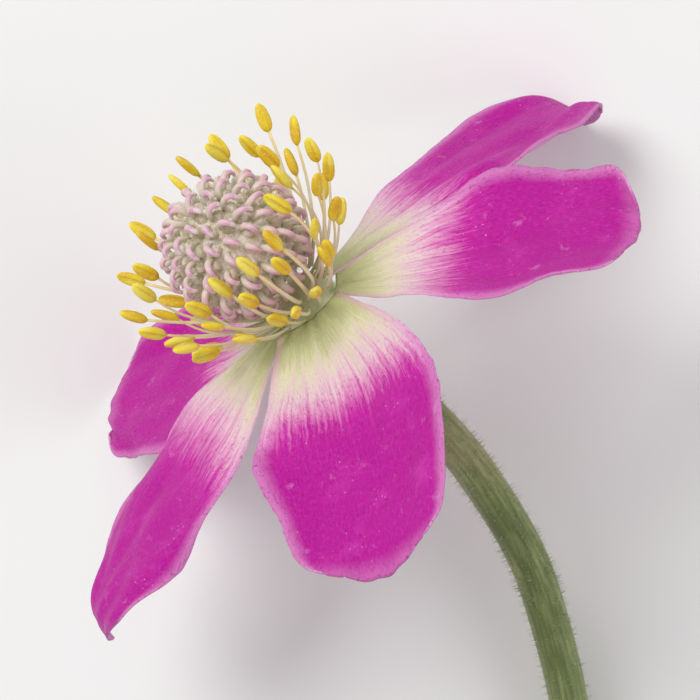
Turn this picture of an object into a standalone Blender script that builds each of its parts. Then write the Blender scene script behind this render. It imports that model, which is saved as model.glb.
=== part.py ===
"""A picked anemone flower, lying on its side on a flat surface.

The flower rests on the tips of its two hindmost tepals and on the cut end of its downy stem.
Everything is in metres, +Z up. The ground is z = 0, and the stem runs along -Y.

An empty named "flower" stands at the receptacle, where the stem ends and the flower begins. Its
local +Z is the flower's own axis, from the stem out through the carpels, and its local +X is the
azimuth from which the tepals and stamens are counted.
"""

import math
import random

import bmesh
import bpy
from mathutils import Matrix, Vector

MM = 0.001

# --- How the flower lies ---------------------------------------------------------------------
# The receptacle's rim. It is set so that the whole flower's box stands over the origin.
FLOWER_BASE = Vector((-3.17, 18.5, 15.18)) * MM
AXIS_HEADING = math.radians(142.3)  # which way the face looks, counted from +X about +Z
AXIS_RISE = math.radians(28.7)  # how far the face looks up

# --- Receptacle: the swollen end of the stem, on which everything else sits ------------------
RIM_RADIUS = 1.95 * MM
NECK_LENGTH = 2.6 * MM
DOME_HEIGHT = 1.1 * MM
SEAT_GAP = 0.12 * MM

# --- Stem --------------------------------------------------------------------------------------
STEM_RADIUS = 1.18 * MM
STEM_SIDES = 6  # Blender's bevel resolution: 16 sides
# Points that the stem passes through, counted from the receptacle's rim.
STEM_ROUTE = [
    Vector(point) * MM
    for point in (
        (7.1, -6.7, -5.3),
        (9.6, -9.6, -7.5),
        (12.4, -14.0, -9.8),
        (13.9, -17.8, -11.1),
        (15.4, -23.8, -12.6),
        (16.0, -31.0, -13.6),
        (15.9, -40.0, -13.95),
        (15.2, -49.0, -14.0),
    )
]
STEM_STEPS = 5  # rings between two of those points

# --- Tepals ------------------------------------------------------------------------------------
TEPAL_THICKNESS = 0.42 * MM
TEPAL_ROWS = 13
TEPAL_COLUMNS = 8


class Tepal:
    """One tepal's measures: millimetres and degrees, turned into the script's units."""

    def __init__(self, name, azimuth, length, width, rise, tip_rise, **more):
        self.name = name
        self.azimuth = math.radians(azimuth)
        self.length = length * MM
        self.width = width * MM
        self.rise = math.radians(rise)  # slope of the base, out of the plane across the axis
        self.tip_rise = math.radians(tip_rise)
        self.height = more.get("height", 0.0) * MM  # where the claw joins the receptacle
        self.cup = more.get("cup", 0.15)  # how much the margins stand up
        self.roll = math.radians(more.get("roll", 0.0))
        self.tip_roll = math.radians(more.get("tip_roll", 0.0))
        self.sweep = math.radians(more.get("sweep", 0.0))  # sideways turn, base to tip
        self.hook = math.radians(more.get("hook", 0.0))  # how far the very tip turns over
        self.claw = more.get("claw", 0.24)  # the claw's width, as a share of the blade's
        self.widest = more.get("widest", 0.58)  # where the blade is widest, as a share of length
        self.tip = more.get("tip", 0.60)  # the tip's width, as a share of the blade's
        self.rounding = more.get("rounding", 0.20)  # how far the tip's corners are drawn back


TEPALS = [
    Tepal("tepal_near", -104.8, 19.9, 11.3, -9, -8, height=-0.1, cup=0.25, roll=-8,
          tip_roll=-14, sweep=-22, claw=0.38, widest=0.53, tip=0.76, rounding=0.14),
    Tepal("tepal_right", -38, 17.6, 10.2, -21, -26, height=-0.4, cup=0.3, roll=2, tip_roll=-10,
          sweep=-4.5, claw=0.16, widest=0.66, tip=0.86, rounding=0.1),
    Tepal("tepal_back_right", 25.0, 23.2, 9.2, -25, -32.5, height=-0.55, cup=0.1, roll=9,
          tip_roll=10, sweep=2, claw=0.12, widest=0.73, tip=0.63, rounding=0.11, hook=80),
    Tepal("tepal_back_left", 128, 17.5, 11.6, -8, -2.3, height=-0.7, cup=0.05, roll=-4,
          tip_roll=-4, claw=0.22, widest=0.53, tip=0.69, rounding=0.15),
    Tepal("tepal_left", 176, 20.6, 8.2, -1.5, -14, height=0.0, cup=-0.12, roll=-9, tip_roll=4,
          sweep=2, claw=0.15, widest=0.5, tip=0.55, rounding=0.25, hook=70),
]

# --- Carpels: a ball of little fruits, each with its style ------------------------------------
HEAD_RADIUS = 3.5 * MM  # to the tops of the ovaries
HEAD_MIDDLE = 5.45 * MM  # its centre's height over the receptacle's rim
CARPELS = 110
CARPEL_BEVEL = 0.22 * MM
STYLE_LENGTH = 0.65 * MM
STYLE_TAPER = 0.55
GOLDEN_ANGLE = math.pi * (3 - math.sqrt(5))

# --- Stamens -----------------------------------------------------------------------------------
FILAMENT_RADIUS = 0.13 * MM
ANTHER_LENGTH = 1.5 * MM
ANTHER_RADIUS = 0.42 * MM
STAMEN_SIDES = 1  # Blender's bevel resolution: 6 sides
# For each whorl, inside to outside: where it leaves the dome (radius, height), where its anthers
# are (distance from the base in mm, and angle from the axis), and how much the filament bows out.
WHORLS = (
    dict(count=15, seat=(1.40, 1.05), reach=8.2, lean=38.5, bow=2.1),
    dict(count=15, seat=(1.62, 0.78), reach=8.7, lean=50, bow=0.9),
    dict(count=11, seat=(1.82, 0.50), reach=6.6, lean=61.5, bow=0.6),
    dict(count=11, seat=(1.98, 0.22), reach=5.2, lean=65, bow=0.3),
)
FAR_SIDE_STRETCH = 0.12  # stamens on the side that faces the ground reach further, by this share
FAR_SIDE = math.radians(80)


def material(name, colour, roughness):
    """A Principled finish for one kind of tissue."""
    made = bpy.data.materials.new(name)
    made.use_nodes = True
    shader = made.node_tree.nodes["Principled BSDF"]
    shader.inputs["Base Color"].default_value = (*colour, 1.0)
    shader.inputs["Roughness"].default_value = roughness
    shader.inputs["Metallic"].default_value = 0.0
    return made


def add_object(name, data, finish, parent=None):
    """Links an object that shows this mesh or curve."""
    made = bpy.data.objects.new(name, data)
    bpy.context.scene.collection.objects.link(made)
    data.materials.append(finish)
    made.parent = parent
    return made


def tube(name, points, radii, sides, finish, parent=None):
    """A capped tube through the points, with its own radius at each."""
    curve = bpy.data.curves.new(name, "CURVE")
    curve.dimensions = "3D"
    curve.bevel_depth = 1.0
    curve.bevel_resolution = sides
    curve.use_fill_caps = True
    line = curve.splines.new("POLY")
    line.points.add(len(points) - 1)
    for place, point, radius in zip(line.points, points, radii):
        place.co = (*point, 1.0)
        place.radius = radius
    return add_object(name, curve, finish, parent)


def smooth_route(points, steps):
    """A Catmull-Rom curve through the points, with this many steps between two of them."""
    ends = [2 * points[0] - points[1], *points, 2 * points[-1] - points[-2]]
    route = []
    for before, start, end, after in zip(ends, ends[1:], ends[2:], ends[3:]):
        for step in range(steps):
            t = step / steps
            route.append(
                0.5
                * (
                    2 * start
                    + (end - before) * t
                    + (2 * before - 5 * start + 4 * end - after) * t * t
                    + (3 * start - before - 3 * end + after) * t**3
                )
            )
    route.append(points[-1])
    return route


def flower_turn():
    """The flower's own frame: its axis as +Z, and the azimuth's zero, level with the ground, as +X."""
    level = Vector((math.sin(AXIS_HEADING), -math.cos(AXIS_HEADING), 0.0))
    axis = Vector(
        (
            math.cos(AXIS_HEADING) * math.cos(AXIS_RISE),
            math.sin(AXIS_HEADING) * math.cos(AXIS_RISE),
            math.sin(AXIS_RISE),
        )
    )
    return Matrix((level, axis.cross(level), axis)).transposed()


def make_stem(finish):
    """Stem and receptacle in one: they grew as one piece."""
    axis = flower_turn() @ Vector((0, 0, 1))
    dome = [
        (DOME_HEIGHT, 0.45 * RIM_RADIUS),
        (0.9 * DOME_HEIGHT, 0.62 * RIM_RADIUS),
        (0.45 * DOME_HEIGHT, 0.85 * RIM_RADIUS),
        (0.0, RIM_RADIUS - SEAT_GAP),
        (-0.35 * NECK_LENGTH, 0.93 * RIM_RADIUS),
        (-0.7 * NECK_LENGTH, 0.5 * (STEM_RADIUS + RIM_RADIUS)),
        (-NECK_LENGTH, STEM_RADIUS),
    ]
    points = [FLOWER_BASE + axis * height for height, _ in dome]
    radii = [radius for _, radius in dome]
    neck = points[-1]
    route = smooth_route([neck, *(FLOWER_BASE + point for point in STEM_ROUTE)], STEM_STEPS)[1:]
    return tube("stem", points + route, radii + [STEM_RADIUS] * len(route), STEM_SIDES, finish)


def ease(value, low, high):
    """0 below low, 1 above high, and a smooth rise between."""
    t = min(1.0, max(0.0, (value - low) / (high - low)))
    return t * t * (3 - 2 * t)


def half_width(tepal, along):
    """Half the blade's width: a narrow claw, the widest place past the middle, and a broad tip."""
    rising = math.sin(0.5 * math.pi * min(1.0, along / tepal.widest)) ** 1.25
    claw = tepal.claw + (1 - tepal.claw) * rising
    tip = 1 - (1 - tepal.tip) * ease(along, tepal.widest, 1.0)
    return 0.5 * tepal.width * claw * tip


def tepal_spine(tepal, steps):
    """The middle line, as a list of (point, forward, sideways, up)."""
    spine = []
    place = Vector((RIM_RADIUS + SEAT_GAP, 0, 0))
    for step in range(steps + 1):
        along = step / steps
        rise = tepal.rise + (tepal.tip_rise - tepal.rise) * along
        rise -= tepal.hook * ease(along, 0.86, 1.0)
        turn = tepal.sweep * along
        level = Vector((math.cos(turn), math.sin(turn), 0.0))
        forward = level * math.cos(rise) + Vector((0, 0, math.sin(rise)))
        roll = tepal.roll + (tepal.tip_roll - tepal.roll) * along
        sideways = Matrix.Rotation(roll, 3, forward) @ Vector((-level.y, level.x, 0.0))
        spine.append((place.copy(), forward, sideways, forward.cross(sideways)))
        place += forward * (tepal.length / steps)
    return spine


def on_tepal(tepal, spine, along, across):
    """The point of the blade that lies at these shares of its length and of its half width."""
    reach = along * (1 - tepal.rounding * across * across * along**2)
    share = reach * (len(spine) - 1)
    index = min(int(share), len(spine) - 2)
    part = share - index
    place, forward, sideways, up = (
        low.lerp(high, part) for low, high in zip(spine[index], spine[index + 1])
    )
    half = half_width(tepal, along)
    return place + sideways * (across * half) + up * (tepal.cup * half * across * across)


def make_tepal(tepal, finish, flower):
    """A blade bent from a flat grid and thickened. Its object turns about the flower's axis."""
    spine = tepal_spine(tepal, 60)
    shape = bmesh.new()
    bmesh.ops.create_grid(shape, x_segments=TEPAL_ROWS, y_segments=TEPAL_COLUMNS, size=1.0)
    for vertex in shape.verts:
        vertex.co = on_tepal(tepal, spine, 0.5 + 0.5 * vertex.co.x, vertex.co.y)
    mesh = bpy.data.meshes.new(tepal.name)
    shape.to_mesh(mesh)
    shape.free()
    blade = add_object(tepal.name, mesh, finish, flower)
    blade.rotation_euler.z = tepal.azimuth
    blade.location.z = tepal.height
    thicken = blade.modifiers.new("thickness", "SOLIDIFY")
    thicken.thickness = TEPAL_THICKNESS
    thicken.offset = 0.0
    mesh.shade_smooth()
    return blade


def make_carpels(finish, flower):
    """A ball of carpels on the golden-angle spiral: each is a blunt stud, its ovary and style."""
    shape = bmesh.new()
    for index in range(CARPELS):
        height = 1 - 2 * (index + 0.5) / CARPELS
        round_it = math.sqrt(1 - height * height)
        angle = index * GOLDEN_ANGLE
        shape.verts.new(
            Vector((round_it * math.cos(angle), round_it * math.sin(angle), height)) * HEAD_RADIUS
        )
    bmesh.ops.convex_hull(shape, input=shape.verts)
    tips = bmesh.ops.bevel(
        shape,
        geom=shape.verts[:],
        offset=CARPEL_BEVEL,
        offset_type="OFFSET",
        affect="VERTICES",
        segments=1,
        profile=0.5,
        material=-1,
    )["faces"]
    studs = bmesh.ops.extrude_discrete_faces(shape, faces=tips)["faces"]
    for stud in studs:
        middle = stud.calc_center_median()
        out = middle.normalized()
        for corner in stud.verts:
            corner.co = middle + (corner.co - middle) * STYLE_TAPER + out * STYLE_LENGTH
    bmesh.ops.recalc_face_normals(shape, faces=shape.faces)
    mesh = bpy.data.meshes.new("carpel_head")
    shape.to_mesh(mesh)
    shape.free()
    head = add_object("carpel_head", mesh, finish, flower)
    head.location.z = HEAD_MIDDLE
    return head


def stamen_line(whorl, lean, reach, steps):
    """Filament and anther as (radius from the axis, height) points, and each point's thickness."""
    seat = Vector((whorl["seat"][0] * MM + SEAT_GAP, whorl["seat"][1] * MM))
    anther = Vector((math.sin(lean), math.cos(lean))) * reach
    chord = anther - seat
    side = Vector((chord.y, -chord.x)).normalized()
    middle = seat + 0.45 * chord + side * whorl["bow"] * MM
    points, thick = [], []
    for step in range(steps + 1):
        t = step / steps
        points.append(seat * (1 - t) ** 2 + middle * 2 * t * (1 - t) + anther * t * t)
        thick.append(FILAMENT_RADIUS)
    forward = (points[-1] - points[-2]).normalized()
    for share, swell in ((0.12, 0.62), (0.5, 1.0), (0.85, 0.75), (1.0, 0.3)):
        points.append(anther + forward * (share * ANTHER_LENGTH))
        thick.append(ANTHER_RADIUS * swell)
    return points, thick


def make_stamens(finish, flower):
    """Whorls of stamens round the carpels, each its own piece. The seed keeps their order."""
    chance = random.Random(4)
    count = 0
    for ring, whorl in enumerate(WHORLS):
        for place in range(whorl["count"]):
            count += 1
            turn = (place + 0.5 * (ring % 2)) * math.tau / whorl["count"]
            lean = math.radians(whorl["lean"] + chance.uniform(-2.5, 2.5))
            stretch = 1 + FAR_SIDE_STRETCH * math.cos(turn - FAR_SIDE)
            reach = (whorl["reach"] + chance.uniform(-0.4, 0.4)) * stretch * MM
            line, thick = stamen_line(whorl, lean, reach, 5)
            points = [Vector((out, 0.0, up)) for out, up in line]
            stamen = tube(f"stamen_{count:02d}", points, thick, STAMEN_SIDES, finish, flower)
            stamen.rotation_euler.z = turn


def main():
    for thing in list(bpy.data.objects):
        bpy.data.objects.remove(thing, do_unlink=True)
    stem_green = material("stem_green", (0.33, 0.40, 0.16), 0.6)
    magenta = material("tepal_magenta", (0.60, 0.01, 0.36), 0.5)
    mauve = material("carpel_mauve", (0.62, 0.45, 0.48), 0.6)
    yellow = material("anther_yellow", (0.85, 0.55, 0.02), 0.6)
    flower = bpy.data.objects.new("flower", None)
    bpy.context.scene.collection.objects.link(flower)
    flower.matrix_world = Matrix.Translation(FLOWER_BASE) @ flower_turn().to_4x4()
    make_stem(stem_green)
    for tepal in TEPALS:
        make_tepal(tepal, magenta, flower)
    make_carpels(mauve, flower)
    make_stamens(yellow, flower)


main()
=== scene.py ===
# %% [markdown]
# # A picked anemone, modelled petal by petal
# The imported model holds the true sizes and places. This script loads it as a fixed frame and
# builds a finer flower over it. Each fine piece rides on the frame and hides the plain solid that
# it stands for; the two pieces of down stand for none.

# %% Load the frame
import math
import random

import bmesh
import bpy
from mathutils import Matrix, Vector, noise


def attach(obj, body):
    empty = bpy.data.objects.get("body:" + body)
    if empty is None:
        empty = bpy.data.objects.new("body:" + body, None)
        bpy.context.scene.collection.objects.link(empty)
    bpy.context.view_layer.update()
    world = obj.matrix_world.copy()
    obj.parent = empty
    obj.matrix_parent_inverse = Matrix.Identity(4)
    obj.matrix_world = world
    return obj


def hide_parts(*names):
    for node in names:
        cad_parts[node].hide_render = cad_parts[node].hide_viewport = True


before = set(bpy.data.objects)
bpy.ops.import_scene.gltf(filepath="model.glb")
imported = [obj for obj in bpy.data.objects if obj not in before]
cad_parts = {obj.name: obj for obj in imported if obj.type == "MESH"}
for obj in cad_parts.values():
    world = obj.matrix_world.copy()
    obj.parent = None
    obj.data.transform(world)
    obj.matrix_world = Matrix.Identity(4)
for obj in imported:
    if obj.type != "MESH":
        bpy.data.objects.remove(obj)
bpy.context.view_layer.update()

MM = 0.001
chance = random.Random(11)
print("nodes in the frame:", len(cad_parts))

# %% [markdown]
# ## How the flower lies
# A flower has its own axis, from the stem out through the carpels, and everything on it is counted
# round that axis. One matrix carries the flower's own frame into the world: the axis becomes +Z in
# the flower's frame, and azimuth 0 is the direction that lies level with the ground. Points are
# worked out in the flower's frame and then sent through the matrix, which is far easier than
# placing a curved blade in the world by hand.

# %% The flower's frame
FLOWER_BASE = Vector((-3.17, 18.5, 15.18)) * MM
AXIS_HEADING = math.radians(142.3)
AXIS_RISE = math.radians(28.7)
RIM_RADIUS = 1.95 * MM
SEAT_GAP = 0.12 * MM

level = Vector((math.sin(AXIS_HEADING), -math.cos(AXIS_HEADING), 0.0))
axis = Vector(
    (
        math.cos(AXIS_HEADING) * math.cos(AXIS_RISE),
        math.sin(AXIS_HEADING) * math.cos(AXIS_RISE),
        math.sin(AXIS_RISE),
    )
)
FLOWER = Matrix.Translation(FLOWER_BASE) @ Matrix((level, axis.cross(level), axis)).transposed().to_4x4()
print("flower's axis points to", [round(part, 3) for part in axis])

# %% [markdown]
# ## Shader maths as Python
# A material is a graph of nodes. Written out node by node it is long and hard to read, so one small
# class wraps a socket and lets + - * / and ** add the Math nodes. A second class holds a material
# and has one method that makes any node at all. Colours go through Mix nodes, never through Math,
# because a Math node turns a colour grey.


# %% Values and shaders
class Value:
    """A number or colour that changes over a surface."""

    def __init__(self, shader, socket):
        self.shader = shader
        self.socket = socket

    def math(self, operation, *terms):
        return self.shader.node("ShaderNodeMath", {"operation": operation}, dict(enumerate(terms)))

    def __add__(self, other):
        return self.math("ADD", self, other)

    def __sub__(self, other):
        return self.math("SUBTRACT", self, other)

    def __rsub__(self, other):
        return self.math("SUBTRACT", other, self)

    def __mul__(self, other):
        return self.math("MULTIPLY", self, other)

    def __truediv__(self, other):
        return self.math("DIVIDE", self, other)

    def __rtruediv__(self, other):
        return self.math("DIVIDE", other, self)

    def __pow__(self, other):
        return self.math("POWER", self, other)

    def __abs__(self):
        return self.math("ABSOLUTE", self)

    __radd__ = __add__
    __rmul__ = __mul__

    def rise(self, low, high):
        """0 below low, 1 above high, and a smooth step between."""
        return self.shader.node(
            "ShaderNodeMapRange",
            {"interpolation_type": "SMOOTHSTEP"},
            {"Value": self, "From Min": low, "From Max": high},
        )

    def ramp(self, *stops):
        """A colour for this value, from (place, (red, green, blue)) stops."""
        return self.shader.node("ShaderNodeValToRGB", {"stops": stops}, {"Fac": self})


class Shader:
    """A material, with one method that makes any node."""

    def __init__(self, name, **constants):
        self.material = bpy.data.materials.new(name)
        self.material.use_nodes = True
        self.tree = self.material.node_tree
        self.surface = self.tree.nodes["Principled BSDF"]
        for socket, value in constants.items():
            self.surface.inputs[socket.replace("_", " ")].default_value = value

    def node(self, kind, settings=None, inputs=None, output=0):
        made = self.tree.nodes.new(kind)
        for key, value in (settings or {}).items():
            if key != "stops":
                setattr(made, key, value)
                continue
            elements = made.color_ramp.elements
            while len(elements) < len(value):
                elements.new(0.5)
            for element, (place, colour) in zip(elements, value):
                element.position = place
                element.color = (*colour, 1.0)
        for key, value in (inputs or {}).items():
            if isinstance(value, Value):
                self.tree.links.new(value.socket, made.inputs[key])
            else:
                made.inputs[key].default_value = value
        return Value(self, made.outputs[output])

    def uv(self, name):
        """The two numbers of a piece's own UV map."""
        both = self.node("ShaderNodeUVMap", {"uv_map": name})
        return [self.node("ShaderNodeSeparateXYZ", {}, {0: both}, output) for output in (0, 1)]

    def place(self):
        """Object coordinates."""
        return self.node("ShaderNodeTexCoord", {}, {}, 3)

    def point(self, x, y, z=0.0):
        return self.node("ShaderNodeCombineXYZ", {}, {0: x, 1: y, 2: z})

    def noise(self, where, scale, detail=2.0, rough=0.5):
        return self.node(
            "ShaderNodeTexNoise",
            {},
            {"Vector": where, "Scale": scale, "Detail": detail, "Roughness": rough},
        )

    def cells(self, where, scale):
        return self.node("ShaderNodeTexVoronoi", {}, {"Vector": where, "Scale": scale})

    def mix(self, factor, first, second):
        values = {
            key: value if isinstance(value, Value) or key == 0 else (*value, 1.0)
            for key, value in ((0, factor), (6, first), (7, second))
        }
        return self.node("ShaderNodeMix", {"data_type": "RGBA"}, values, 2)

    def finish(self, colour, roughness=None, height=None, depth=0.05, strength=1.0):
        """Feeds the surface: depth is the height's full range in millimetres."""
        self.tree.links.new(colour.socket, self.surface.inputs["Base Color"])
        if roughness is not None:
            self.tree.links.new(roughness.socket, self.surface.inputs["Roughness"])
        if height is not None:
            bump = self.node(
                "ShaderNodeBump",
                {},
                {"Height": height, "Distance": depth * MM, "Strength": strength},
            )
            self.tree.links.new(bump.socket, self.surface.inputs["Normal"])
        print("finish made:", self.material.name, "with", len(self.tree.nodes), "nodes")
        return self.material


# %% [markdown]
# ## The finish of a tepal
# A tepal is cream and a little green at its claw. Fine streaks of pink run out of the cream, and
# beyond them the blade is a deep magenta, blotched and rubbed, with a paler lilac rim. The colour
# follows the blade and not the world, so the blade carries two UV maps: "share", which runs from 0
# to 1 across and along it, and "mm", which is measured in millimetres for the grain.
# The surface is velvety: a little sheen on the shader, and a bump of fine grain, drawn out along
# the blade.


# %% Tepal, upper face
def tepal_face():
    shader = Shader("tepal_face", Roughness=0.5, Sheen_Weight=0.10, Sheen_Roughness=0.4)
    shader.surface.inputs["Sheen Tint"].default_value = (1.0, 0.62, 0.9, 1.0)
    shader.surface.inputs["Specular IOR Level"].default_value = 0.22
    across, along = shader.uv("share")
    wide, far = shader.uv("mm")
    side = abs(across * 2 - 1)
    veins = shader.noise(shader.point(across * 46, along * 2.2), 1.0, 3.0, 0.6)
    threads = shader.noise(shader.point(wide * 6.5, far * 0.9), 1.0, 3.0, 0.7)
    rows = shader.noise(shader.point(wide * 7.0, far * 3.4), 1.0, 3.0, 0.65)
    grain = shader.noise(shader.point(wide * 17.0, far * 11.0), 1.0, 2.0, 0.6)
    cloud = shader.noise(shader.point(wide * 0.5, far * 0.42), 1.0, 4.0, 0.6)
    reach = along + (veins - 0.5) * 0.34 + (threads - 0.5) * 0.14 + (cloud - 0.5) * 0.1
    reach = reach + side * side * -0.03
    colour = reach.rise(0.02, 0.56).ramp(
        (0.0, (0.60, 0.62, 0.30)),
        (0.18, (0.80, 0.75, 0.52)),
        (0.40, (0.84, 0.62, 0.68)),
        (0.64, (0.78, 0.27, 0.55)),
        (0.86, (0.58, 0.008, 0.36)),
        (1.0, (0.50, 0.0, 0.31)),
    )
    blotch = cloud.rise(0.52, 0.72) * along.rise(0.3, 0.6)
    colour = shader.mix(blotch * 0.30, colour, (0.74, 0.07, 0.52))
    patch = shader.noise(shader.point(wide * 0.9, far * 0.7, 4.0), 1.0, 5.0, 0.7).rise(0.60, 0.72)
    colour = shader.mix(patch * along.rise(0.25, 0.5) * 0.40, colour, (0.84, 0.34, 0.68))
    rim = side.rise(0.82, 1.0) * 0.50 + along.rise(0.92, 1.0) * 0.30
    colour = shader.mix(rim, colour, (0.86, 0.42, 0.74))
    dashes = rows.rise(0.55, 0.68) * along.rise(0.12, 0.4)
    colour = shader.mix(dashes * 0.60, colour, (0.30, 0.0, 0.17))
    light = rows.rise(0.5, 0.3) * along.rise(0.1, 0.35)
    dark = threads.rise(0.54, 0.68) * along.rise(0.2, 0.45)
    colour = shader.mix(dark * 0.38, colour, (0.36, 0.0, 0.22))
    colour = shader.mix(light * 0.20, colour, (0.80, 0.10, 0.58))
    # Tiny pale dots over the blade are painted glints: sparkle of light on the velvety surface, not
    # pigment.
    painted_glints = shader.cells(shader.point(wide * 3.1, far * 2.3), 1.0).rise(0.13, 0.05)
    painted_glints = painted_glints * cloud.rise(0.46, 0.6) * along.rise(0.3, 0.5)
    colour = shader.mix(painted_glints * 0.7, colour, (0.95, 0.66, 0.90))
    height = rows * 0.55 + veins * 0.3 + grain * 0.25
    return shader.finish(colour, grain * 0.25 + 0.36, height, 0.19, 0.9)


TEPAL_FACE = tepal_face()


# %% [markdown]
# The back of a tepal has the same magenta seen through a layer of silky down, so it is paler and
# duller, with stronger ribs that run out from the claw.


# %% Tepal, back
def tepal_back():
    shader = Shader("tepal_back", Roughness=0.6, Sheen_Weight=0.5, Sheen_Roughness=0.5)
    across, along = shader.uv("share")
    wide, far = shader.uv("mm")
    ribs = shader.noise(shader.point(across * 22, along * 1.2), 1.0, 2.0, 0.5)
    down = shader.noise(shader.point(wide * 10, far * 2.0), 1.0, 3.0, 0.6)
    reach = along + (ribs - 0.5) * 0.3
    colour = reach.rise(0.0, 0.5).ramp(
        (0.0, (0.52, 0.56, 0.30)),
        (0.3, (0.74, 0.62, 0.58)),
        (0.7, (0.66, 0.24, 0.50)),
        (1.0, (0.60, 0.12, 0.45)),
    )
    colour = shader.mix(down.rise(0.5, 0.7) * 0.5, colour, (0.80, 0.52, 0.76))
    colour = shader.mix(ribs.rise(0.52, 0.64) * 0.3, colour, (0.42, 0.06, 0.28))
    return shader.finish(colour, down * 0.2 + 0.5, ribs * 0.6 + down * 0.4, 0.10, 0.7)


TEPAL_BACK = tepal_back()

# %% [markdown]
# ## Tepals
# Each tepal starts as a flat grid. A middle line runs out from the receptacle, rises or falls,
# sweeps to one side and, on two of the tepals, turns over at the very tip. Every point of the grid
# is then laid along that line and across it: the half width gives the outline, the cup lifts the
# margins, and small waves keep the blade from looking stamped out. Solidify makes it a real sheet,
# thick in the middle and thin at the margin, and gives the back its own finish.


# %% What describes a tepal
GRID_ALONG = 96
GRID_ACROSS = 40
SPINE_STEPS = 80
TIP_START = 0.88
TIP_NARROWING = 0.60
TIP_ROUNDING_SHARE = 0.4
FLUTE_HEIGHT = 0.05 * MM
MIDRIB_DEPTH = 0.10 * MM
CRUMPLE_HEIGHT = 0.42 * MM
RAGGED_EDGE = 0.022
SHEET_THICKNESS = 0.36 * MM
MARGIN_THICKNESS_SHARE = 0.3


class Tepal:
    """One tepal's measures: millimetres and degrees, turned into the script's units."""

    def __init__(self, name, azimuth, length, width, rise, tip_rise, **more):
        self.name = name
        self.azimuth = math.radians(azimuth)
        self.length = length * MM
        self.width = width * MM
        self.rise = math.radians(rise)
        self.tip_rise = math.radians(tip_rise)
        self.height = more.get("height", 0.0) * MM
        self.cup = more.get("cup", 0.15)
        self.roll = math.radians(more.get("roll", 0.0))
        self.tip_roll = math.radians(more.get("tip_roll", 0.0))
        self.sweep = math.radians(more.get("sweep", 0.0))
        self.hook = math.radians(more.get("hook", 0.0))
        self.claw = more.get("claw", 0.24)
        self.widest = more.get("widest", 0.58)
        self.tip = more.get("tip", 0.60)
        self.rounding = more.get("rounding", 0.20)
        self.wave = more.get("wave", 0.05)
        self.seed = more.get("seed", 0.0)


TEPALS = [
    Tepal("tepal_near", -104.8, 19.9, 11.3, -9, -8, height=-0.1, cup=0.25, roll=-8,
          tip_roll=-14, sweep=-22, claw=0.38, widest=0.53, tip=0.76, rounding=0.14, seed=1.0),
    Tepal("tepal_right", -38, 17.6, 10.2, -21, -26, height=-0.4, cup=0.3, roll=2, tip_roll=-10,
          sweep=-4.5, claw=0.16, widest=0.66, tip=0.86, rounding=0.1, wave=0.07, seed=2.0),
    Tepal("tepal_back_right", 25.0, 23.2, 9.2, -25, -32.5, height=-0.55, cup=0.1, roll=9,
          tip_roll=10, sweep=2, claw=0.12, widest=0.73, tip=0.63, rounding=0.11, hook=80, seed=3.0),
    Tepal("tepal_back_left", 128, 17.5, 11.6, -8, -2.3, height=-0.7, cup=0.05, roll=-4,
          tip_roll=-4, claw=0.22, widest=0.53, tip=0.69, rounding=0.15, seed=4.0),
    Tepal("tepal_left", 176, 20.9, 9.4, -1.5, -14, height=0.0, cup=-0.12, roll=-9, tip_roll=4,
          sweep=2, claw=0.15, widest=0.58, tip=0.66, rounding=0.25, hook=70, wave=0.08, seed=5.0),
]


print("tepals:", [tepal.name for tepal in TEPALS])


# %% The curved surface
def ease(value, low, high):
    """0 below low, 1 above high, and a smooth rise between."""
    t = min(1.0, max(0.0, (value - low) / (high - low)))
    return t * t * (3 - 2 * t)


def half_width(tepal, along):
    """Half the blade's width, with the tip's corners rounded off."""
    rising = math.sin(0.5 * math.pi * min(1.0, along / tepal.widest)) ** 1.25
    claw = tepal.claw + (1 - tepal.claw) * rising
    tip = 1 - (1 - tepal.tip) * ease(along, tepal.widest, 1.0)
    closing = max(0.0, (along - TIP_START) / (1 - TIP_START))
    return 0.5 * tepal.width * claw * tip * math.sqrt(1 - TIP_NARROWING * closing**3)


def tepal_spine(tepal, steps):
    """The middle line, as a list of (point, forward, sideways, up)."""
    spine = []
    place = Vector((RIM_RADIUS + SEAT_GAP, 0, 0))
    for step in range(steps + 1):
        along = step / steps
        rise = tepal.rise + (tepal.tip_rise - tepal.rise) * along
        rise -= tepal.hook * ease(along, 0.86, 1.0)
        turn = tepal.sweep * along
        flat = Vector((math.cos(turn), math.sin(turn), 0.0))
        forward = flat * math.cos(rise) + Vector((0, 0, math.sin(rise)))
        roll = tepal.roll + (tepal.tip_roll - tepal.roll) * along
        sideways = Matrix.Rotation(roll, 3, forward) @ Vector((-flat.y, flat.x, 0.0))
        spine.append((place.copy(), forward, sideways, forward.cross(sideways)))
        place += forward * (tepal.length / steps)
    return spine


def on_tepal(tepal, spine, along, across):
    """The point of the blade at these shares of its length and of its half width."""
    reach = along * (1 - TIP_ROUNDING_SHARE * tepal.rounding * across * across * along**2)
    share = reach * (len(spine) - 1)
    index = min(int(share), len(spine) - 2)
    place, forward, sideways, up = (
        low.lerp(high, share - index) for low, high in zip(spine[index], spine[index + 1])
    )
    half = half_width(tepal, along)
    cup = tepal.cup * half * across * across
    ripple = math.sin(math.tau * (along * 2.3 + tepal.seed * 0.37 + 0.3 * across))
    wave = tepal.wave * half * abs(across) ** 3 * ripple
    flutes = FLUTE_HEIGHT * math.cos(across * 17) * ease(along, 0.0, 0.2) * (1 - 0.6 * along)
    midrib = MIDRIB_DEPTH * math.exp(-((across / 0.1) ** 2)) * (1 - along)
    crumple = noise.noise(Vector((across * 2.6, along * 5.0, tepal.seed * 7)))
    crumple *= CRUMPLE_HEIGHT * ease(along, 0.1, 0.4)
    lift = cup + wave + flutes - midrib + crumple
    edge = 1 + RAGGED_EDGE * noise.noise(Vector((along * 22, tepal.seed, across)))
    return place + sideways * (across * half * edge) + up * lift


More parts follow.
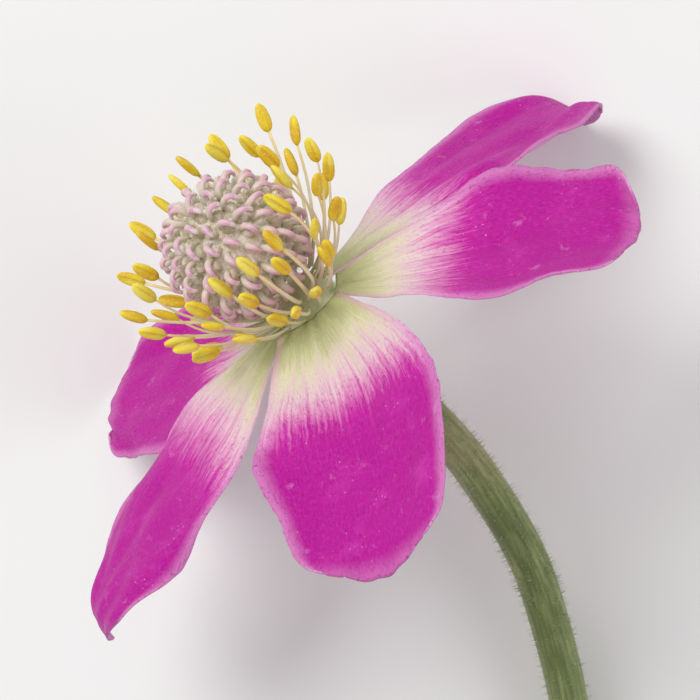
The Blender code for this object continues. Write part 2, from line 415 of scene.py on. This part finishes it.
# %% Build the five tepals
def show(name, shape, finishes, slot, *nodes):
    """Makes a piece from a bmesh and hides the plain solids it stands for."""
    mesh = bpy.data.meshes.new(name)
    shape.to_mesh(mesh)
    shape.free()
    mesh.shade_smooth()
    for finish in finishes:
        mesh.materials.append(finish)
    piece = bpy.data.objects.new(name, mesh)
    bpy.context.scene.collection.objects.link(piece)
    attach(piece, "root")
    if nodes:
        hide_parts(*nodes)
    return piece


def make_tepal(tepal):
    spine = tepal_spine(tepal, SPINE_STEPS)
    where = FLOWER @ Matrix.Translation((0, 0, tepal.height)) @ Matrix.Rotation(tepal.azimuth, 4, "Z")
    shape = bmesh.new()
    bmesh.ops.create_grid(shape, x_segments=GRID_ALONG, y_segments=GRID_ACROSS, size=1.0)
    share = shape.loops.layers.uv.new("share")
    ruler = shape.loops.layers.uv.new("mm")
    for face in shape.faces:
        for loop in face.loops:
            along, across = 0.5 + 0.5 * loop.vert.co.x, loop.vert.co.y
            half = half_width(tepal, along) / MM
            loop[share].uv = (0.5 + 0.5 * across, along)
            loop[ruler].uv = (across * half + 20 * tepal.seed, along * tepal.length / MM)
    weights = shape.verts.layers.deform.verify()
    for vertex in shape.verts:
        along, across = 0.5 + 0.5 * vertex.co.x, vertex.co.y
        vertex[weights][0] = (1 - across**4) * (1 - 0.7 * ease(along, 0.8, 1.0))
        vertex.co = where @ on_tepal(tepal, spine, along, across)
    piece = show(tepal.name + "_fine", shape, [TEPAL_FACE, TEPAL_BACK], "tepal_magenta", tepal.name)
    piece.vertex_groups.new(name="body")
    sheet = piece.modifiers.new("sheet", "SOLIDIFY")
    sheet.thickness = SHEET_THICKNESS
    sheet.offset = 0.0
    sheet.vertex_group = "body"
    sheet.thickness_vertex_group = MARGIN_THICKNESS_SHARE
    sheet.material_offset = 1
    print(piece.name, "grid faces:", len(piece.data.polygons))
    return piece


for each in TEPALS:
    make_tepal(each)

# %% [markdown]
# ## Tubes
# The stem, the filaments, the anthers and the styles are all long and round, so one helper makes
# them. It starts from a circle, extrudes its edge again and again, and lays each new ring on the
# next point of a line, at a right angle to it. A ring has a width, a thickness and an optional
# furrow, which is how an anther gets its two lobes. A UV map says how far along a point is.


# %% A helper that sweeps a ring along a line
FURROW_WIDTH = 0.38


def frames_along(points, side):
    """A (side, up) pair for each point, turned as little as possible on the way."""
    pairs = []
    for index, point in enumerate(points):
        ahead = points[min(index + 1, len(points) - 1)] - points[max(index - 1, 0)]
        forward = ahead.normalized()
        side = (side - forward * side.dot(forward)).normalized()
        pairs.append((side, forward.cross(side)))
    return pairs


def run_map(shape):
    """The UV map of a swept piece: round it and along it, both from 0 to 1."""
    return shape.loops.layers.uv.get("run") or shape.loops.layers.uv.new("run")


def sweep(shape, points, sizes, side, sides=8, furrow=None, finish=0):
    """A closed tube: sizes are (half width, half thickness), and furrow draws two flanks in."""
    uv = run_map(shape)
    frames = frames_along(points, side)
    start = bmesh.ops.create_circle(shape, cap_ends=True, segments=sides, radius=1.0)["verts"]
    ring = sorted(start, key=lambda vertex: math.atan2(vertex.co.y, vertex.co.x))
    angles = [math.atan2(vertex.co.y, vertex.co.x) for vertex in ring]
    faces = set(start[0].link_faces)
    edges = list(dict.fromkeys(edge for vertex in ring for edge in vertex.link_edges))
    rings = []
    for index, (point, (wide, thick), (across, up)) in enumerate(zip(points, sizes, frames)):
        if index:
            made = bmesh.ops.extrude_edge_only(shape, edges=edges)["geom"]
            fresh = {v for v in made if isinstance(v, bmesh.types.BMVert)}
            faces |= {f for f in made if isinstance(f, bmesh.types.BMFace)}
            edges = [e for e in made if isinstance(e, bmesh.types.BMEdge) and set(e.verts) <= fresh]
            ring = [next(e.other_vert(v) for e in v.link_edges if e.other_vert(v) in fresh) for v in ring]
        for vertex, angle in zip(ring, angles):
            depth = 1.0
            if furrow:
                depth -= furrow[index] * math.exp(-((math.cos(angle) / FURROW_WIDTH) ** 2))
            vertex.co = point + across * (wide * math.cos(angle)) + up * (thick * depth * math.sin(angle))
        rings.append(ring)
    faces.add(shape.faces.new(ring))
    rank = {v: i / (len(rings) - 1) for i, line in enumerate(rings) for v in line}
    turn = {v: i / sides for line in rings for i, v in enumerate(line)}
    for face in faces:
        face.material_index = finish
        for loop in face.loops:
            loop[uv].uv = (turn[loop.vert], rank[loop.vert])
    return faces


# %% [markdown]
# ## Stem
# The stalk of this anemone is soft, olive green and flushed with pink just under the flower, with
# fine grooves along it. It swells into the receptacle, the dome on which the other pieces sit, and
# because it grew with it they are one piece. Its route bends over the ground in one smooth curve,
# here a Catmull-Rom curve through a few points.


# %% Finish of the stem
def stem_finish():
    shader = Shader("stem_downy", Roughness=0.6, Sheen_Weight=0.6, Sheen_Roughness=0.4)
    shader.surface.inputs["Sheen Tint"].default_value = (0.95, 1.0, 0.8, 1.0)
    around, along = shader.uv("run")
    where = shader.place()
    streak = shader.noise(shader.point(around * 26, along * 14), 1.0, 3.0, 0.6)
    cloud = shader.noise(where, 260.0, 3.0, 0.6)
    grain = shader.noise(where, 5200.0, 2.0, 0.6)
    colour = (streak * 0.6 + cloud * 0.4).rise(0.3, 0.7).ramp(
        (0.0, (0.10, 0.13, 0.03)), (0.5, (0.18, 0.23, 0.07)), (1.0, (0.32, 0.36, 0.15))
    )
    blush = along.rise(0.42, 0.16) * along.rise(0.09, 0.14) * cloud.rise(0.3, 0.6)
    colour = shader.mix(blush * 0.45, colour, (0.42, 0.22, 0.17))
    colour = shader.mix(along.rise(0.10, 0.05), colour, (0.62, 0.62, 0.36))
    return shader.finish(colour, grain * 0.2 + 0.5, streak * 0.7 + grain * 0.3, 0.08, 0.7)


STEM_FINISH = stem_finish()


# %% Finish of the cut end
def cut_finish():
    shader = Shader("stem_cut", Roughness=0.35)
    where = shader.place()
    pith = shader.cells(where, 3600.0)
    colour = pith.rise(0.1, 0.5).ramp((0.0, (0.50, 0.56, 0.26)), (1.0, (0.72, 0.76, 0.48)))
    return shader.finish(colour, pith * 0.2 + 0.3, pith, 0.05, 0.6)


CUT_FINISH = cut_finish()

# %% Build the stem
NECK_LENGTH = 2.6 * MM
DOME_HEIGHT = 1.1 * MM
STEM_RADIUS = 1.18 * MM
STEM_ROUTE = [
    FLOWER_BASE + Vector(point) * MM
    for point in (
        (7.1, -6.7, -5.3),
        (9.6, -9.6, -7.5),
        (12.4, -14.0, -9.8),
        (13.9, -17.8, -11.1),
        (15.4, -23.8, -12.6),
        (16.0, -31.0, -13.6),
        (15.9, -40.0, -13.95),
        (15.2, -49.0, -14.0),
    )
]


def smooth_route(points, steps):
    """A Catmull-Rom curve through the points, with this many steps between two of them."""
    ends = [2 * points[0] - points[1], *points, 2 * points[-1] - points[-2]]
    route = []
    for before, start, end, after in zip(ends, ends[1:], ends[2:], ends[3:]):
        for step in range(steps):
            t = step / steps
            bend = (2 * before - 5 * start + 4 * end - after) * t * t
            bend += (3 * start - before - 3 * end + after) * t**3
            route.append(0.5 * (2 * start + (end - before) * t + bend))
    route.append(points[-1])
    return route


def make_stem():
    dome = [
        (DOME_HEIGHT, 0.2 * RIM_RADIUS),
        (0.97 * DOME_HEIGHT, 0.42 * RIM_RADIUS),
        (0.85 * DOME_HEIGHT, 0.62 * RIM_RADIUS),
        (0.55 * DOME_HEIGHT, 0.8 * RIM_RADIUS),
        (0.2 * DOME_HEIGHT, 0.91 * RIM_RADIUS),
        (-0.1 * NECK_LENGTH, 0.95 * RIM_RADIUS),
        (-0.35 * NECK_LENGTH, 0.92 * RIM_RADIUS),
        (-0.6 * NECK_LENGTH, 0.82 * RIM_RADIUS),
        (-0.8 * NECK_LENGTH, 0.70 * RIM_RADIUS),
        (-NECK_LENGTH, STEM_RADIUS),
    ]
    points = [FLOWER_BASE + axis * height for height, _ in dome]
    radii = [radius for _, radius in dome]
    route = smooth_route([points[-1], *STEM_ROUTE], 12)[1:]
    radii += [STEM_RADIUS * (0.985 + 0.03 * noise.noise(point * 160)) for point in route]
    points += route
    shape = bmesh.new()
    sweep(shape, points, [(radius, radius) for radius in radii], Vector((0, 0, 1)), sides=32)
    bmesh.ops.recalc_face_normals(shape, faces=shape.faces)
    end = [face for face in shape.faces if len(face.verts) > 4 and face.calc_center_median().y < 0]
    rim = bmesh.ops.inset_region(shape, faces=end, thickness=0.16 * MM, depth=-0.05 * MM)
    for face in end + rim["faces"]:
        face.material_index = 1
    show("stem_fine", shape, [STEM_FINISH, CUT_FINISH], "stem_green", "stem")
    print("stem rings:", len(points))
    return points, radii


STEM_POINTS, STEM_RADII = make_stem()

# %% [markdown]
# ## Down
# Soft hairs stand on the stem and among the carpels. Each is a three-sided needle of two short
# lengths, bent a little, so that a thousand of them cost no more than one tepal.


# %% Finish and helper for the down
def down_finish(name, root, tip):
    shader = Shader(name, Roughness=0.5)
    along = shader.uv("run")[1]
    return shader.finish(along.ramp((0.0, root), (1.0, tip)))


def add_hair(shape, start, out, length, radius, lean):
    """A needle that leaves along out and bends towards lean."""
    middle = start + out * (0.55 * length) + lean * (0.12 * length)
    tip = start + out * (0.85 * length) + lean * (0.5 * length)
    sizes = [(radius, radius), (0.7 * radius, 0.7 * radius), (0.12 * radius, 0.12 * radius)]
    sweep(shape, [start, middle, tip], sizes, out.orthogonal(), sides=3)


STEM_HAIRS = 2600
STEM_HAIR_RADIUS = 0.014 * MM
WOOL_HAIR_RADIUS = 0.012 * MM
STEM_DOWN = down_finish("stem_down", (0.50, 0.54, 0.32), (0.80, 0.82, 0.70))


# %% Down on the stem
def make_stem_down(count):
    shape = bmesh.new()
    last = len(STEM_POINTS) - 2
    for _ in range(count):
        index = chance.randrange(7, last)
        part = chance.random()
        point = STEM_POINTS[index].lerp(STEM_POINTS[index + 1], part)
        radius = STEM_RADII[index] * (1 - part) + STEM_RADII[index + 1] * part
        forward = (STEM_POINTS[index + 1] - STEM_POINTS[index]).normalized()
        out = Matrix.Rotation(chance.uniform(0, math.tau), 3, forward) @ forward.orthogonal().normalized()
        lean = forward * chance.uniform(-1.0, 0.3) + forward.cross(out) * chance.uniform(-0.6, 0.6)
        start = point + out * (radius - 0.03 * MM)
        length = chance.uniform(0.28, 0.62) * MM
        if start.z + out.z * length < 0.1 * MM:
            continue
        add_hair(shape, start, out, length, STEM_HAIR_RADIUS, lean)
    bmesh.ops.recalc_face_normals(shape, faces=shape.faces)
    print("stem down faces:", len(shape.faces))
    return show("stem_down", shape, [STEM_DOWN], "stem_green")


make_stem_down(STEM_HAIRS)

# %% [markdown]
# ## Carpels
# The middle of an anemone is a ball of little fruits. Each has a green ovary in white wool and a
# style that stands out and hooks over, mauve on the bend and cream at the tip. They sit in the
# spirals that the golden angle gives. The ovary is a small sphere and the style a tapered sweep.

# %% Finishes of the carpels
HEAD_MIDDLE = 5.45 * MM
HEAD_CENTRE = FLOWER @ Vector((0, 0, HEAD_MIDDLE))
CARPELS = 146
CORE_RADIUS = 3.12 * MM
CORE_BUMPS = 0.14 * MM
OVARY_REACH = 3.05
OVARY_HALF_SIZES = (0.36 * MM, 0.42 * MM, 0.50 * MM)
HAIRS_PER_CARPEL = 8
GOLDEN_ANGLE = math.pi * (3 - math.sqrt(5))


def style_finish():
    shader = Shader("style_mauve", Roughness=0.42, Sheen_Weight=0.2)
    around, along = shader.uv("run")
    where = shader.place()
    cloud = shader.noise(where, 700.0, 2.0, 0.5)
    streak = shader.noise(shader.point(around * 9, along * 3), 1.0, 2.0, 0.6)
    colour = (along + (cloud - 0.5) * 0.3).ramp(
        (0.0, (0.50, 0.52, 0.26)),
        (0.25, (0.72, 0.62, 0.50)),
        (0.5, (0.70, 0.42, 0.50)),
        (0.7, (0.62, 0.30, 0.44)),
        (0.86, (0.80, 0.60, 0.62)),
        (1.0, (0.88, 0.82, 0.72)),
    )
    # The pale cream streaks along the styles are painted highlights, light caught on the glossy styles.
    colour = shader.mix(streak.rise(0.45, 0.65) * 0.45, colour, (0.86, 0.78, 0.72))
    return shader.finish(colour, streak * 0.25 + 0.3, streak, 0.03, 0.6)


def ovary_finish():
    shader = Shader("ovary_green", Roughness=0.6, Sheen_Weight=0.5)
    where = shader.place()
    wool = shader.noise(where, 2600.0, 4.0, 0.7)
    cloud = shader.noise(where, 420.0, 2.0, 0.5)
    colour = cloud.rise(0.35, 0.65).ramp((0.0, (0.50, 0.42, 0.26)), (1.0, (0.72, 0.60, 0.46)))
    colour = shader.mix(wool.rise(0.44, 0.60) * 0.85, colour, (0.86, 0.78, 0.72))
    return shader.finish(colour, wool * 0.3 + 0.5, wool, 0.10, 0.9)


STYLE_FINISH = style_finish()
OVARY_FINISH = ovary_finish()
WOOL = down_finish("carpel_wool", (0.74, 0.72, 0.55), (0.90, 0.89, 0.84))


# %% Build the head of carpels
def carpel_places(count):
    """(outward, away from the apex) unit vectors on the golden-angle spiral, in the world."""
    turn = FLOWER.to_3x3()
    for index in range(count):
        height = 1 - 1.93 * (index + 0.5) / count
        ring = math.sqrt(1 - height * height)
        angle = index * GOLDEN_ANGLE
        out = Vector((ring * math.cos(angle), ring * math.sin(angle), height))
        away = Vector((height * math.cos(angle), height * math.sin(angle), -ring))
        yield turn @ out, turn @ away


# How far out and how far over the style's middle line is, in millimetres, from ovary to tip.
STYLE_LINE = (
    (3.05, -0.30), (3.45, -0.36), (3.80, -0.32), (4.02, -0.18), (4.13, 0.02),
    (4.12, 0.24), (4.00, 0.42), (3.82, 0.50),
)
STYLE_WIDTHS = (0.23, 0.22, 0.21, 0.20, 0.19, 0.18, 0.15, 0.08)


def make_carpels():
    shape = bmesh.new()
    uv = run_map(shape)
    core = bmesh.ops.create_icosphere(
        shape, subdivisions=4, radius=CORE_RADIUS, matrix=Matrix.Translation(HEAD_CENTRE)
    )
    for vertex in core["verts"]:
        out = (vertex.co - HEAD_CENTRE).normalized()
        vertex.co += out * (CORE_BUMPS * noise.noise(out * 9))
        for face in vertex.link_faces:
            face.material_index = 1
    wool = bmesh.new()
    for out, away in carpel_places(CARPELS):
        twist = Matrix.Rotation(chance.gauss(0.25, 0.32), 3, out)
        over = twist @ away
        side = out.cross(over)
        root = HEAD_CENTRE + out * (OVARY_REACH * MM)
        size = Matrix.Diagonal((*OVARY_HALF_SIZES, 1.0))
        seat = Matrix((side, over, out)).transposed().to_4x4()
        ovary = bmesh.ops.create_icosphere(
            shape, subdivisions=2, radius=1.0, matrix=Matrix.Translation(root) @ seat @ size
        )
        for face in {face for vertex in ovary["verts"] for face in vertex.link_faces}:
            face.material_index = 1
            for loop in face.loops:
                loop[uv].uv = (0.5, 0.0)
        stretch = chance.uniform(0.93, 1.03)
        curl = chance.uniform(0.8, 1.15)
        line = [
            root + out * ((far - OVARY_REACH) * stretch * MM) + over * (shift * curl * MM)
            for far, shift in STYLE_LINE
        ]
        sizes = [(width * MM, 0.8 * width * MM) for width in STYLE_WIDTHS]
        sweep(shape, line, sizes, side, sides=8)
        for _ in range(HAIRS_PER_CARPEL):
            lean = (over * chance.uniform(-1, 1) + side * chance.uniform(-1, 1)) * 0.8
            start = root + lean * (0.38 * MM) + out * (0.2 * MM)
            add_hair(wool, start, out, chance.uniform(0.45, 1.05) * MM, WOOL_HAIR_RADIUS, lean)
    bmesh.ops.recalc_face_normals(shape, faces=shape.faces)
    bmesh.ops.recalc_face_normals(wool, faces=wool.faces)
    print("carpel faces:", len(shape.faces), "wool faces:", len(wool.faces))
    show("carpel_head_fine", shape, [STYLE_FINISH, OVARY_FINISH], "carpel_mauve", "carpel_head")
    show("carpel_wool", wool, [WOOL], "carpel_mauve")


make_carpels()

# %% [markdown]
# ## Stamens
# Four whorls of stamens surround the carpels. A filament is a flat, pale ribbon; the anther on it is
# a pair of yellow pollen sacs with a furrow between them, a little shrunken and powdery where it
# has opened. The seed keeps every stamen in the same place as its plain solid.


# %% Finishes of a stamen
def filament_finish():
    shader = Shader("filament_cream", Roughness=0.45)
    around, along = shader.uv("run")
    where = shader.place()
    cloud = shader.noise(where, 300.0, 2.0, 0.5)
    streak = shader.noise(shader.point(around * 8, along * 4), 1.0, 2.0, 0.6)
    colour = along.ramp((0.0, (0.70, 0.70, 0.42)), (0.6, (0.84, 0.78, 0.56)), (1.0, (0.86, 0.68, 0.28)))
    colour = shader.mix(cloud.rise(0.52, 0.7) * 0.5, colour, (0.78, 0.52, 0.52))
    return shader.finish(colour, streak * 0.2 + 0.35, streak, 0.03, 0.6)


def anther_finish():
    shader = Shader("anther_pollen", Roughness=0.55)
    around, along = shader.uv("run")
    where = shader.place()
    powder = shader.noise(where, 6500.0, 3.0, 0.7)
    cloud = shader.noise(where, 520.0, 2.0, 0.5)
    colour = cloud.rise(0.32, 0.68).ramp(
        (0.0, (0.80, 0.50, 0.01)), (0.5, (0.88, 0.68, 0.02)), (1.0, (0.92, 0.80, 0.12))
    )
    # A darker band along the furrow between the pollen sacs: painted shade in the crease.
    furrow_shade = abs(abs(around * 2 - 1) - 0.5).rise(0.10, 0.0)
    colour = shader.mix(furrow_shade * 0.5, colour, (0.62, 0.34, 0.01))
    colour = shader.mix(powder.rise(0.55, 0.66) * 0.5, colour, (0.96, 0.84, 0.34))
    return shader.finish(colour, powder * 0.3 + 0.4, powder, 0.07, 0.9)


FILAMENT_FINISH = filament_finish()
ANTHER_FINISH = anther_finish()

# %% Where the stamens stand
ANTHER_LENGTH = 1.5 * MM
WHORLS = (
    dict(count=15, seat=(1.40, 1.05), reach=8.2, lean=38.5, bow=2.1),
    dict(count=15, seat=(1.62, 0.78), reach=8.7, lean=50, bow=0.9),
    dict(count=11, seat=(1.82, 0.50), reach=6.6, lean=61.5, bow=0.6),
    dict(count=11, seat=(1.98, 0.22), reach=5.2, lean=65, bow=0.3),
)
FAR_SIDE_STRETCH = 0.12
FAR_SIDE = math.radians(80)
print("stamens in each whorl:", [whorl["count"] for whorl in WHORLS])


def filament_line(whorl, lean, reach, steps):
    """The filament as (radius from the axis, height) points, from the dome to the anther."""
    seat = Vector((whorl["seat"][0] * MM + SEAT_GAP, whorl["seat"][1] * MM))
    anther = Vector((math.sin(lean), math.cos(lean))) * reach
    chord = anther - seat
    side = Vector((chord.y, -chord.x)).normalized()
    middle = seat + 0.45 * chord + side * whorl["bow"] * MM
    shares = [step / steps for step in range(steps + 1)]
    return [seat * (1 - t) ** 2 + middle * 2 * t * (1 - t) + anther * t * t for t in shares]


# %% Build the stamens
ANTHER_PROFILE = (
    (0.0, 0.30), (0.06, 0.62), (0.18, 0.88), (0.36, 1.0), (0.55, 0.98), (0.73, 0.88),
    (0.88, 0.66), (0.97, 0.40), (1.0, 0.15),
)


def make_stamen(name, line, tangent, turn, age):
    """One stamen: a flat filament, and an anther whose furrow and size depend on its age."""
    shape = bmesh.new()
    wide = [(0.15 - 0.05 * i / len(line)) * MM for i in range(len(line))]
    sweep(shape, line, [(w, 0.6 * w) for w in wide], tangent, sides=8)
    ahead = (line[-1] - line[-2]).normalized()
    tilt = Matrix.Rotation(turn, 3, tangent)
    ahead = tilt @ ahead
    face = Matrix.Rotation(chance.uniform(0, math.pi), 3, ahead) @ tangent
    length = ANTHER_LENGTH * (1.04 + 0.15 * age)
    points = [line[-1] + ahead * ((share - 0.04) * length) for share, _ in ANTHER_PROFILE]
    half = (0.37 + 0.05 * age) * MM
    sizes = [(half * swell, 0.76 * half * swell) for _, swell in ANTHER_PROFILE]
    depth = [(0.30 + 0.25 * age) * min(1.0, swell * 1.2) for _, swell in ANTHER_PROFILE]
    sweep(shape, points, sizes, face, sides=20, furrow=depth, finish=1)
    bmesh.ops.recalc_face_normals(shape, faces=shape.faces)
    return show(name + "_fine", shape, [FILAMENT_FINISH, ANTHER_FINISH], "anther_yellow", name)


def make_stamens():
    order = random.Random(4)
    count = 0
    for ring, whorl in enumerate(WHORLS):
        for place in range(whorl["count"]):
            count += 1
            turn = (place + 0.5 * (ring % 2)) * math.tau / whorl["count"]
            lean = math.radians(whorl["lean"] + order.uniform(-2.5, 2.5))
            stretch = 1 + FAR_SIDE_STRETCH * math.cos(turn - FAR_SIDE)
            reach = (whorl["reach"] + order.uniform(-0.4, 0.4)) * stretch * MM
            where = FLOWER @ Matrix.Rotation(turn, 4, "Z")
            line = [where @ Vector((out, 0, up)) for out, up in filament_line(whorl, lean, reach, 12)]
            tangent = where.to_3x3() @ Vector((0, 1, 0))
            make_stamen(f"stamen_{count:02d}", line, tangent, chance.uniform(-0.25, 0.25), chance.random())
    print("stamens:", count)


make_stamens()

# %% [markdown]
# ## Floor, light and camera
# The flower lies on a plain pale floor under soft light: a large lamp high on the left, a weaker
# one on the right, and an even sky. Lamps and sky together light a white sheet to about white, so
# colours look as they are written. The camera looks straight down, because the flower is laid down.


# %% Floor
FLOOR_HALF_WIDTH = 1.2
FLOOR_DROP = 0.1 * MM


def make_floor():
    shape = bmesh.new()
    bmesh.ops.create_grid(shape, x_segments=1, y_segments=1, size=FLOOR_HALF_WIDTH)
    shader = Shader("floor_pale", Roughness=0.8)
    cloud = shader.noise(shader.place(), 3.0, 2.0, 0.5)
    colour = shader.mix(cloud * 0.4, (0.86, 0.86, 0.85), (0.83, 0.83, 0.82))
    mesh = bpy.data.meshes.new("floor")
    shape.to_mesh(mesh)
    shape.free()
    mesh.materials.append(shader.finish(colour))
    floor = bpy.data.objects.new("floor", mesh)
    floor.location.z = -FLOOR_DROP
    bpy.context.scene.collection.objects.link(floor)


make_floor()


# %% Lamps and sky
def add_lamp(name, place, size, power):
    """A square lamp that faces the flower."""
    light = bpy.data.lights.new(name, "AREA")
    light.size = size
    light.energy = power
    lamp = bpy.data.objects.new(name, light)
    lamp.location = place
    lamp.rotation_euler = (HEAD_CENTRE - Vector(place)).to_track_quat("-Z", "Y").to_euler()
    bpy.context.scene.collection.objects.link(lamp)


add_lamp("key", (-0.28, 0.26, 0.46), 0.28, 2.1)
add_lamp("fill", (0.40, -0.10, 0.30), 0.35, 0.55)
sky = bpy.data.worlds.new("sky")
sky.use_nodes = True
sky.node_tree.nodes["Background"].inputs["Color"].default_value = (1.0, 1.0, 1.0, 1.0)
sky.node_tree.nodes["Background"].inputs["Strength"].default_value = 0.5
bpy.context.scene.world = sky

# %% Camera
CAMERA_HEIGHT = 220 * MM
VIEW_WIDTH = 38.89 * MM
VIEW_MIDDLE = FLOWER_BASE + Vector((2.5, -2.78, 0.0)) * MM
camera_data = bpy.data.cameras.new("camera")
camera_data.sensor_width = 36.0
camera_data.lens = 36.0 * CAMERA_HEIGHT / VIEW_WIDTH
camera_data.clip_start = 0.01
camera = bpy.data.objects.new("camera", camera_data)
camera.location = VIEW_MIDDLE + Vector((0.0, 0.0, CAMERA_HEIGHT))
bpy.context.scene.collection.objects.link(camera)
bpy.context.scene.camera = camera
bpy.context.scene.view_settings.view_transform = "Standard"
print("camera at", [round(part, 4) for part in camera.location])
